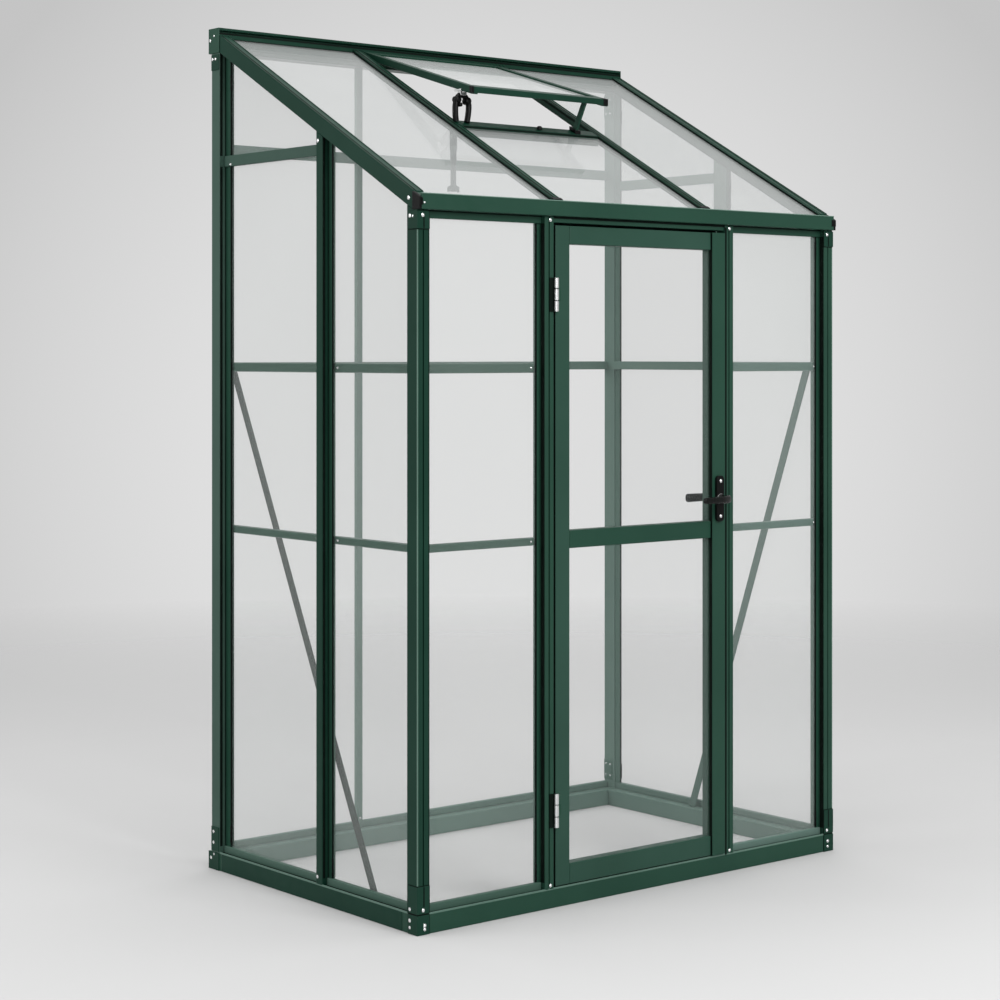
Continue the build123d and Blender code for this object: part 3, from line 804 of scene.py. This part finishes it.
# Plates inside the back posts, at the head and the foot, with four screws each, in the paler coat that is
# painted reflection from the glass in front of them
back_plate_heights = ((1882.0, 1944.0), (64.0, 118.0))
back_plate_thick = 1.6
back_plate_ys = (ridge_y + 2.0, back_post.high.y)
back_screw_ys = (ridge_y + 9.0, back_post.high.y - 8.0)
back_screw_inset = 12.0
back_screw = 2.6
back_plates = bmesh.new()
back_screws = bmesh.new()
for side in ends:
    inner = side * back_post.low.x
    face = side * (back_post.low.x - back_plate_thick)
    for z_from, z_to in back_plate_heights:
        add_box(back_plates, inner, face, *back_plate_ys, z_from, z_to)
        for y in back_screw_ys:
            for z in (z_from + back_screw_inset, z_to - back_screw_inset):
                add_bolt(back_screws, (face, y, z), (-side, 0, 0), back_screw)
finish("back_post_plates", back_plates, green_veiled, edge=0.5)
finish("back_post_screws", back_screws, zinc, slot="hinge_metal", smooth_deg=40.0)

# Black clips that hold the panes, each with two slots
clip_width = 4.0
clip_near = 16.5
clip_slot = 2.5
clip_slot_shares = (0.3, 0.7)
# Clips on the end walls, as (y, low, high)
side_clips = ((372.5, 1862.0, 1898.0), (372.5, 70.0, 110.0), (-45.5, 1650.0, 1682.0), (-45.5, 64.0, 104.0))
front_clip_reach = 11.0
front_clip_heights = ((1476.0, 1512.0), (64.0, 100.0))
front_clip_xs = (
    hinge_cap_left - front_clip_reach,
    latch_cap_right + front_clip_reach,
    pane_end - front_clip_reach,
)


def clip_outline(middle, low, high):
    """Outline of a clip seen flat on, as (across, up)."""
    left, right = middle - clip_width / 2, middle + clip_width / 2
    out = [(left, low), (right, low)]
    for slot_share in clip_slot_shares:
        slot = low + (high - low) * slot_share
        slot_low, slot_high = slot - clip_slot, slot + clip_slot
        out += [(right, slot_low), (middle, slot_low), (middle, slot_high), (right, slot_high)]
    return out + [(right, high), (left, high)]


clips = bmesh.new()
for side in ends:
    for y, low, high in side_clips:
        add_prism(clips, "X", *end_span(side, clip_near, glass_inset), clip_outline(y, low, high))
for x in front_clip_xs:
    for low, high in front_clip_heights:
        add_prism(clips, "Y", *front_span(clip_near, glass_inset), clip_outline(x, low, high))
finish("pane_clips", clips, black, slot="black_fittings", edge=0.4)

# Ribs along the rafters, strips of painted shade in the grooves of their tops and on their sides, and black
# ends on the eave beam
rib_half = 1.3
strip_thick = 0.8
rafter_end_half = half_rafter + 0.7
mid_rib_offsets = (-10.5, -1.5, 9.5)
mid_groove_offsets = (-9.2, -2.8)
end_rib_depths = (2.0, 9.0, 26.0)
end_groove_depths = (3.3, 7.7)
# Runs along a rafter, as (from, to, drop of the top, drop of the foot)
rib_run = (eave.high.y, ridge_y, -1.6, 0.5)
groove_run = (eave.high.y + 3.0, ridge_y, -0.6, 0.4)
strip_run = (eave.high.y + 4.0, ridge_y, 2.0, roof_glass_drop)
rafter_end_run = (eave.high.y - 7.0, eave.high.y + 2.0, -2.2, 10.0)
ribs = bmesh.new()
strips = bmesh.new()
rafter_ends = bmesh.new()


def add_rafter_top(x_ribs, x_groove, x_face, out):
    """Ribs and a strip of painted shade in a groove on a rafter's top, and a strip of painted shade on one of
    its sides.
    """
    for x in x_ribs:
        add_slope(ribs, x - rib_half, x + rib_half, *rib_run)
    if x_groove:
        add_slope(strips, *x_groove, *groove_run)
    add_slope(strips, x_face, x_face + out * strip_thick, *strip_run)


for middle in (first_rafter_x, second_rafter_x):
    rib_xs = [middle + offset for offset in mid_rib_offsets]
    groove_xs = [middle + offset for offset in mid_groove_offsets]
    add_rafter_top(rib_xs, groove_xs, middle - half_rafter, -1)
    add_rafter_top((), (), middle + half_rafter, 1)
    add_slope(rafter_ends, middle - rafter_end_half, middle + rafter_end_half, *rafter_end_run)
for side in ends:
    rib_xs = [side * (wall_x - depth) for depth in end_rib_depths]
    add_rafter_top(rib_xs, end_span(side, *end_groove_depths), side * pane_end, -side)
finish("rafter_ribs", ribs, green_roof_shaded, edge=0.5)

# Dark lines along the ridge beam, under it between the rafters, and in front of the vent's sill
ridge_line = (ridge_y - 0.5, ridge_y, roof_top + 4.0, roof_top + 8.0)
ridge_seal = (ridge_y - 0.8, ridge_y, roof_top - 9.0, roof_top - 5.5)
sill_seal = (vent_sill.low.y - 0.8, vent_sill.low.y, 1.5, 4.5)
add_box(strips, -wall_x, wall_x, *ridge_line)
add_box(strips, -pane_end, first_rafter_x - half_rafter, *ridge_seal)
add_box(strips, second_rafter_x + half_rafter, pane_end, *ridge_seal)
add_slope(strips, first_rafter_x + half_rafter, second_rafter_x - half_rafter, *sill_seal)
finish("rafter_seals_and_painted_shade", strips, rubber_and_shade, slot="black_fittings")
finish("rafter_ends", rafter_ends, black, slot="black_fittings", edge=0.8)

# Ribbed black sleeves on the ends of the eave beam, as (end, count of ribs)
sleeve_rows = ((-1, 3), (1, 5))
sleeve_pitch = 3.0
sleeve_rib = 2.2
sleeve_start = half_width - 0.4
sleeve_low = 1549.0
sleeve_front = eave.low.y - 1.6
sleeve_back = eave.high.y
sleeve_bend = eave.low.y + 2.0
eave_line = roof_z(eave.low.y)
sleeve_outline = [
    (sleeve_front, sleeve_low), (sleeve_back, sleeve_low), (sleeve_back, roof_z(sleeve_back) - 1.0),
    (sleeve_bend, eave_line + 0.6), (sleeve_front, eave_line - 2.4),
]
sleeves = bmesh.new()
for side, count in sleeve_rows:
    for i in range(count):
        outer = sleeve_start - i * sleeve_pitch
        add_prism(sleeves, "X", side * outer, side * (outer - sleeve_rib), sleeve_outline)
finish("eave_end_sleeves", sleeves, black, slot="black_fittings", edge=0.6)

# Lips along the top of the eave beam and along the sills, and a bead on each front corner, all in a pale coat
# that is a painted highlight
eave_lip_end = half_width - 6.0
eave_lip_z = eave_line + 8.0
# Outline of the eave's lip, as (back, up)
lip_points = ((-0.8, -1.6), (5.4, -1.6), (5.4, 0.8), (0.4, 0.8), (-0.8, -0.4))
eave_lip = [(eave.low.y + back, eave_lip_z + up) for back, up in lip_points]
plate_end = 31.0
sill_lip = 3.2
sill_lip_heights = (sill_height - 1.0, sill_height + 3.0)
corner_bead_inset = 0.8
corner_bead_low = 105.0
corner_bead_steps = ((0.0, 1.6), (1392.0, 1.6))
trims = bmesh.new()
add_prism(trims, "X", -eave_lip_end, eave_lip_end, eave_lip)
add_box(trims, plate_end - wall_x, wall_x - plate_end, *front_span(0, sill_lip), *sill_lip_heights)
for side in ends:
    add_box(trims, *end_span(side, 0, sill_lip), wall_y + plate_end, ridge_y, *sill_lip_heights)
    corner = (side * (wall_x - corner_bead_inset), wall_y + corner_bead_inset, corner_bead_low)
    add_turned(trims, corner, upward, corner_bead_steps, sides=12)
finish("eave_and_sill_lips", trims, green_highlight, edge=0.7)

# Painted shade in the gaps of the frame: a painted shadow under the eave beam, and dark lines of painted
# shade on the sills and over the door
shade_gaps = bmesh.new()
head_line_near = bar_face - 0.8
head_line_low = 1537.5
sill_line_near = 8.0
sill_line_heights = (sill_height, sill_height + 1.0)
door_line_ys = front_span(2.2, 3.0)
door_line_low = 1535.0
bays = ((-pane_end, hinge_cap_left), (latch_cap_right, pane_end))
for x_from, x_to in bays:
    add_box(shade_gaps, x_from, x_to, *front_span(head_line_near, bar_face), head_line_low, eave.low.z)
    add_box(shade_gaps, x_from, x_to, *front_span(sill_line_near, bar_face), *sill_line_heights)
for side in ends:
    x_line = end_span(side, sill_line_near, bar_face)
    add_box(shade_gaps, *x_line, wall_y + corner_depth, ridge_y, *sill_line_heights)
add_box(shade_gaps, hinge_post.high.x, latch_post.low.x, *door_line_ys, door_line_low, eave.low.z)

# Stops behind the door's edges, whose dark rubber also stands in for the shade in the gaps round the door,
# and a line of painted shade on the latch post
stop_ys = (door_rear + 2.5, door_rear + 8.0)
stop_reach = 8.0
stop_low = 43.0
stop_high = 1534.0
latch_line = 5.0
latch_line_rise = 0.6
stops = (
    (hinge_post.high.x, door_left + stop_reach, stop_low, stop_high),
    (door_right - stop_reach, latch_post.low.x, stop_low, stop_high),
    (door_left, door_right, door_top - stop_reach, stop_high),
    (door_left, door_right, sill_height, door_bottom + stop_reach),
)
for x_from, x_to, z_from, z_to in stops:
    add_box(shade_gaps, x_from, x_to, *stop_ys, z_from, z_to)
latch_line_end = latch_post.low.x + latch_line
add_box(shade_gaps, latch_post.low.x, latch_line_end, *front_span(-latch_line_rise, 0), sill_height, stop_high)

# Lines of painted shade on the corner plates, and painted shadow in the seams round them
plate_line_depths = (14.5, 17.5)
plate_line_rise = 0.5
plate_line_heights = ((60.0, 102.0), (1500.0, 1523.0))
seam = 1.6
seam_rise = 1.0
foot_low = sill_height + 3.0
foot_high = 103.0
head_low_seam = 1499.0
head_high_seam = 1537.0
upright_shade_lines = ((0.0, sill_height), (foot_low, foot_high), (head_low_seam, head_high_seam))
level_shade_lines = ((sill_height, foot_low), (foot_high, foot_high + seam), (head_low_seam - seam, head_low_seam))
y_run = front_span(0, plate_end)
y_seam = front_span(plate_end, plate_end + seam)
y_face = front_span(-seam_rise, 0)
for side in ends:
    x_line = end_span(side, *plate_line_depths)
    for z_from, z_to in plate_line_heights:
        add_box(shade_gaps, *x_line, bracket_y - plate_line_rise, bracket_y, z_from, z_to)
    x_face = end_span(side, 0, -seam_rise)
    x_run = end_span(side, 0, plate_end)
    x_seam = end_span(side, plate_end, plate_end + seam)
    for z_from, z_to in upright_shade_lines:
        add_box(shade_gaps, *x_face, *y_seam, z_from, z_to)
        add_box(shade_gaps, *x_seam, *y_face, z_from, z_to)
    for z_from, z_to in level_shade_lines:
        add_box(shade_gaps, *x_face, *y_run, z_from, z_to)
        add_box(shade_gaps, *x_run, *y_face, z_from, z_to)
finish("frame_painted_shade", shade_gaps, rubber_and_shade, slot="black_fittings")

# Pale sheets on the edges of the flanges behind the panes, and beside the back posts: painted reflection from
# the glass in front of them
veil_near = glass_rear + 0.3
veil_far = 29.0
veil_thick = 0.8
corner_veil = 3.8
back_veil_thick = 1.0
back_veil_ys = (ridge_y - 25.0, ridge_y - 6.0)
# Sheets of painted reflection on the front, as (x, signed thickness, depth)
front_veil_sheets = (
    (hinge_post.low.x, -veil_thick, veil_far),
    (latch_post.high.x, veil_thick, veil_far),
    (front_post.low.x, -corner_veil, corner_depth),
)
veil_sheets = bmesh.new()
for x, thick, far in front_veil_sheets:
    add_box(veil_sheets, x, x + thick, *front_span(veil_near, far), *pane_zs)
for side in ends:
    for y, thick in ((mid_post.low.y, -veil_thick), (mid_post.high.y, veil_thick)):
        side_run(veil_sheets, side, veil_near, veil_far, y, y + thick, bar_top)
    side_run(veil_sheets, side, veil_near, veil_near + back_veil_thick, *back_veil_ys, bar_top)
finish("flange_painted_veil", veil_sheets, green_veiled, edge=0.3)

# Painted shade on the door: dark strips on the shaded side of the latch stile and on the hinge side
shade_inset = 1.0
shade_heights = (door_bottom + shade_inset, door_top - shade_inset)
latch_shade = 0.8
latch_shade_ys = (latch_stile.low.y + shade_inset, wall_y + 5.0)
hinge_shade = 0.6
hinge_shade_ys = (wall_y + shade_inset, door_rear - shade_inset)
door_shade = bmesh.new()
add_box(door_shade, latch_stile.low.x - latch_shade, latch_stile.low.x, *latch_shade_ys, *shade_heights)
add_box(door_shade, door_left - hinge_shade, door_left, *hinge_shade_ys, *shade_heights)
finish("door_painted_shade", door_shade, rubber_and_shade, body="door", slot="black_fittings")

# Beads along the upright edges of the door's panes, in the paler coat of painted sheen
door_glass = Box("door_glass")
door_mid_rail = Box("door_mid_rail")
door_bead = 1.6
door_bead_ys = (wall_y + 10.0, door_rear - 1.0)
door_pane_heights = ((door_glass.low.z, door_mid_rail.low.z), (door_mid_rail.high.z, door_glass.high.z))
door_beads = bmesh.new()
for z_from, z_to in door_pane_heights:
    for x, step in ((hinge_stile.high.x, door_bead), (latch_stile.low.x, -door_bead)):
        add_box(door_beads, x, x + step, *door_bead_ys, z_from, z_to)
finish("door_pane_beads", door_beads, green_lit, body="door", edge=0.4)

# Hinges: turned barrels and a pin, with a leaf on the post that is dark as painted shade and a green leaf on
# the door
third = hinge_height / 3
barrel_radius = 5.6
barrel_rim = 0.8
rim_share = 0.8
knuckle_gap = 1.2
pin_steps = ((0.0, 2.4), (hinge_height, 2.4))
# Leaves of a hinge, as (from, to) beside the pivot and in front of the wall
post_leaf = (pivot_x - 16.0, pivot_x - 4.0, wall_y - 2.0, wall_y)
door_leaf = (pivot_x + 4.0, pivot_x + 18.0, wall_y - 1.6, wall_y)
barrel_look = {"slot": "hinge_metal", "smooth_deg": 40.0}
post_barrels = bmesh.new()
post_leaves = bmesh.new()
door_barrels = bmesh.new()
door_leaves = bmesh.new()


def add_barrel(mesh, low, high):
    """One knuckle with rounded rims."""
    rim = barrel_radius * rim_share
    steps = ((low, rim), (low + barrel_rim, barrel_radius), (high - barrel_rim, barrel_radius), (high, rim))
    add_turned(mesh, (pivot_x, pivot_y, 0.0), upward, steps, sides=24)


for low in hinge_lows:
    high = low + hinge_height
    add_barrel(post_barrels, low, low + third - knuckle_gap)
    add_barrel(post_barrels, high - third + knuckle_gap, high)
    add_barrel(door_barrels, low + third, high - third)
    add_turned(post_leaves, (pivot_x, pivot_y, low), upward, pin_steps, sides=16)
    add_box(post_leaves, *post_leaf, low, high)
    add_box(door_leaves, *door_leaf, low + third, high - third)
finish("hinge_post_barrels", post_barrels, steel, replaces=("hinge_post_leaves",), **barrel_look)
finish("hinge_post_plates_painted_shade", post_leaves, rubber_and_shade, slot="hinge_metal", edge=0.5)
finish("hinge_door_barrels", door_barrels, steel, body="door", replaces=("hinge_door_leaves",), **barrel_look)
finish("hinge_door_plates", door_leaves, green, body="door", slot="hinge_metal", edge=0.4)

# Handle plates with round ends, their screws and the bright rings round the lever's necks
screw_rises = (-41.5, 41.5)
screw_steps = ((-0.4, 3.9), (0.8, 3.9), (1.8, 2.7), (2.1, 1.2))
ring_steps = ((-0.4, 11.4), (0.6, 11.4), (0.9, 11.1))
plate_outline = [
    (handle_x + across, handle_z + up)
    for across, up in rounded_outline(half_first=12.0, half_second=54.0, radius=9.0)
]
plate_rows = ((latch_stile.low.y, handle_box.low.y, outward), (door_rear, handle_box.high.y, inward))
plates = bmesh.new()
screws = bmesh.new()
for y_from, y_to, direction in plate_rows:
    add_prism(plates, "Y", y_from, y_to, plate_outline)
    for rise in screw_rises:
        add_turned(screws, (handle_x, y_to, handle_z + rise), direction, screw_steps, sides=18)
    add_turned(screws, (handle_x, y_to, handle_z), direction, ring_steps, sides=28)
finish(
    "handle_plates_round", plates, black,
    body="door", slot="black_fittings", edge=1.4, replaces=("handle_plates",),
)
finish("handle_screws", screws, zinc, body="door", slot="hinge_metal", smooth_deg=40.0)

# The two levers, each from rows of (share of its length, share of its size), and the spindle between them
front_lever_shares = (
    (-0.05, 0.42), (-0.04, 0.72), (-0.018, 0.92), (0.03, 1.0), (0.16, 1.0), (0.4, 0.86), (0.7, 0.78),
    (0.93, 0.76), (0.965, 0.7), (0.99, 0.52), (1.0, 0.3),
)
rear_lever_shares = ((-0.1, 0.8), (-0.06, 1.0), (0.9, 1.05), (0.96, 0.92), (0.99, 0.66), (1.0, 0.36))
bend_share = 0.45
lever_half_thick = 6.9
lever_half_height = 9.6
lever_inset = 7.0
lever_sides = 24
square_power = 0.75
neck_foot = ((1.0, 10.8), (4.0, 10.8), (5.2, 9.4), (7.0, 8.2))
neck_waist_share = 0.7
neck_waist = 7.0
neck_end = 6.4
spindle_radius = 4.8
spindle_overlap = 2.0


def squared(value):
    """A cosine or sine pushed outward, for a section between an oval and a rectangle."""
    return math.copysign(abs(value) ** square_power, value)


def add_lever(mesh, shares, middle_y, plate_y, length, bend):
    """A lever with a round tip, bent in towards its turned neck."""
    outside = math.copysign(1.0, middle_y - plate_y)
    rings = []
    for along_share, size_share in shares:
        ease = max(0.0, 1.0 - max(along_share, 0.0) / bend_share) ** 2
        row_x = handle_x - length * along_share
        row_y = middle_y - outside * bend * ease
        ring = []
        for angle in turn_angles(lever_sides):
            across = lever_half_thick * size_share * squared(math.cos(angle))
            up = lever_half_height * size_share * squared(math.sin(angle))
            ring.append(mesh.verts.new((row_x, row_y + across, handle_z + up)))
        rings.append(ring)
    add_skin(mesh, rings)
    reach = abs(middle_y - plate_y) - bend
    steps = (*neck_foot, (reach * neck_waist_share, neck_waist), (reach, neck_end))
    add_turned(mesh, (handle_x, plate_y, handle_z), (0, outside, 0), steps, lever_sides)


levers = bmesh.new()
front_lever_y = lever_box.low.y + lever_inset
rear_lever_y = lever_box.high.y - lever_inset
add_lever(levers, front_lever_shares, front_lever_y, handle_box.low.y, length=95.0, bend=14.0)
add_lever(levers, rear_lever_shares, rear_lever_y, handle_box.high.y, length=49.0, bend=0.0)
spindle_start = handle_box.low.y - spindle_overlap
spindle_length = handle_box.high.y + spindle_overlap - spindle_start
spindle_steps = ((0.0, spindle_radius), (spindle_length, spindle_radius))
add_turned(levers, (handle_x, spindle_start, handle_z), inward, spindle_steps, sides=16)
finish(
    "lever_pair", levers, lever_black,
    body="handle", slot="black_fittings", smooth_deg=50.0, replaces=("door_lever",),
)

# Roof vent: the hooked claw, from points of (across, up) over the vent's sill, with its knuckles
claw_x = Box("vent_claw").middle.x
sill_top = roof_z(sill_y)
claw_points = (
    (-17.0, 2.0), (-19.0, 22.0), (-18.0, 44.0), (-11.0, 60.0), (0.0, 66.0), (12.0, 60.0), (21.0, 44.0),
    (20.0, 22.0), (16.0, 2.0),
)
claw_radius = 7.2
knuckle_steps = ((-8.0, 8.5), (7.0, 8.5), (8.5, 7.0))
knob_steps = ((-4.0, 5.0), (5.0, 5.0), (6.0, 4.0))
# Knuckles as (across, forward, up, steps, sides)
claw_knuckles = (
    (-14.0, 0.0, 54.0, knuckle_steps, 18),
    (16.0, 0.0, 52.0, knuckle_steps, 18),
    (-8.0, 3.0, 42.0, knob_steps, 14),
)
claw = bmesh.new()
claw_line = smooth_path([(claw_x + across, sill_y, sill_top + up) for across, up in claw_points])
add_tube(claw, claw_line, claw_radius)
for across, forward, up, steps, sides in claw_knuckles:
    add_turned(claw, (claw_x + across, sill_y - forward, sill_top + up), outward, steps, sides)
finish("vent_claw_hooks", claw, black, slot="black_fittings", smooth_deg=50.0, replaces=("vent_claw",))

# The bracket that holds the claw under the sash, as blocks of (half width, front, back, low, high)
sash_under = vent_z(sill_y, sash_thick)
bracket_bolt = 4.0
bracket_front = sill_y - 8.0
bracket_blocks = (
    (9.0, bracket_front, sill_y + 4.0, sill_top + 64.0, sash_under + 1.0),
    (13.0, sill_y - 12.0, sill_y + 12.0, sash_under - 3.0, sash_under + 1.0),
)
bracket_bolt_z = sill_top + 74.0
bracket = bmesh.new()
for half, front, back, low, high in bracket_blocks:
    add_box(bracket, claw_x - half, claw_x + half, front, back, low, high)
add_bolt(bracket, (claw_x, bracket_front, bracket_bolt_z), outward, bracket_bolt)
finish("vent_claw_bracket", bracket, steel, slot="hinge_metal", edge=0.8)

# The opener that hangs from the first middle rafter, a stepped tube with a winged end
opener_top = roof_z(sill_y, mid_rafter_drop)
opener_steps = (
    (0.0, 8.6), (46.0, 8.6), (47.0, 7.4), (68.0, 7.4), (69.0, 6.6), (126.0, 6.6), (127.0, 7.6), (142.0, 7.6),
    (143.0, 6.4),
)
# Right half of the winged end, as (across, up)
wing_half = ((5.0, -136.0), (15.0, -144.0), (15.0, -132.0), (6.0, -128.0))
wing_ys = (sill_y - 4.0, sill_y + 4.0)
opener = bmesh.new()
add_turned(opener, (first_rafter_x, sill_y, opener_top), downward, opener_steps)
wing = list(wing_half) + [(-across, up) for across, up in reversed(wing_half)]
add_prism(opener, "Y", *wing_ys, [(first_rafter_x + across, opener_top + up) for across, up in wing])
finish(
    "vent_opener_tube", opener, opener_look,
    slot="black_fittings", smooth_deg=40.0, replaces=("vent_opener",),
)

# The prop's arm, up to the front rail of the sash
prop_x = Box("vent_prop").low.x
prop_half = 6.5
prop_xs = (prop_x - 1.0, prop_x + 5.5)
prop_head_y = sash.low.y + 13.0
prop_head_front = prop_head_y - prop_half
prop_head_back = prop_head_y + prop_half
prop_head_drop = 15.0
prop_outline = [
    (sill_y - prop_half, sill_top - 2.0),
    (sill_y + prop_half, sill_top + 5.0),
    (prop_head_back, vent_z(prop_head_back, prop_head_drop)),
    (prop_head_front, vent_z(prop_head_front, prop_head_drop)),
]
arm = bmesh.new()
add_prism(arm, "X", *prop_xs, prop_outline)
finish("vent_prop_arm", arm, green, slot="black_fittings", edge=0.5, replaces=("vent_prop",))

# The prop's foot with its pivot, and the catch knob on the vent's sill
foot_xs = (prop_x - 5.0, prop_x + 12.0)
foot_ys = (sill_y - 12.0, sill_y + 12.0)
foot_rise = 9.0
foot_pivot = (foot_xs[0], sill_y, sill_top + 5.0)
foot_pivot_steps = ((0.0, 4.5), (2.0, 4.5), (3.0, 3.0))
catch_place = (20.0, sill_y - 4.0, sill_top - 2.0)
catch_steps = ((0.0, 6.5), (6.0, 6.5), (8.0, 5.0), (9.0, 3.0))
foot = bmesh.new()
add_slope(foot, *foot_xs, *foot_ys, -foot_rise, 0.0)
add_turned(foot, foot_pivot, (-1, 0, 0), foot_pivot_steps, sides=16)
add_turned(foot, catch_place, upward, catch_steps, sides=18)
finish("vent_prop_foot", foot, black, slot="black_fittings", edge=0.5)

# Black ends of the sash's front rail, as (from, to, depth)
cap_proud = 0.8
cap_front = sash.low.y - 1.2
cap_low = 15.8
cap_rows = (
    (sash.low.x - cap_proud, sash.low.x + 8.0, 7.0),
    (sash.high.x - 14.0, sash.high.x + cap_proud, 14.0),
)
caps = bmesh.new()
for x_from, x_to, depth in cap_rows:
    add_slope(caps, x_from, x_to, cap_front, sash.low.y + depth, -cap_proud, cap_low, vent_z)
finish("vent_rail_ends", caps, black, slot="black_fittings", edge=0.8)
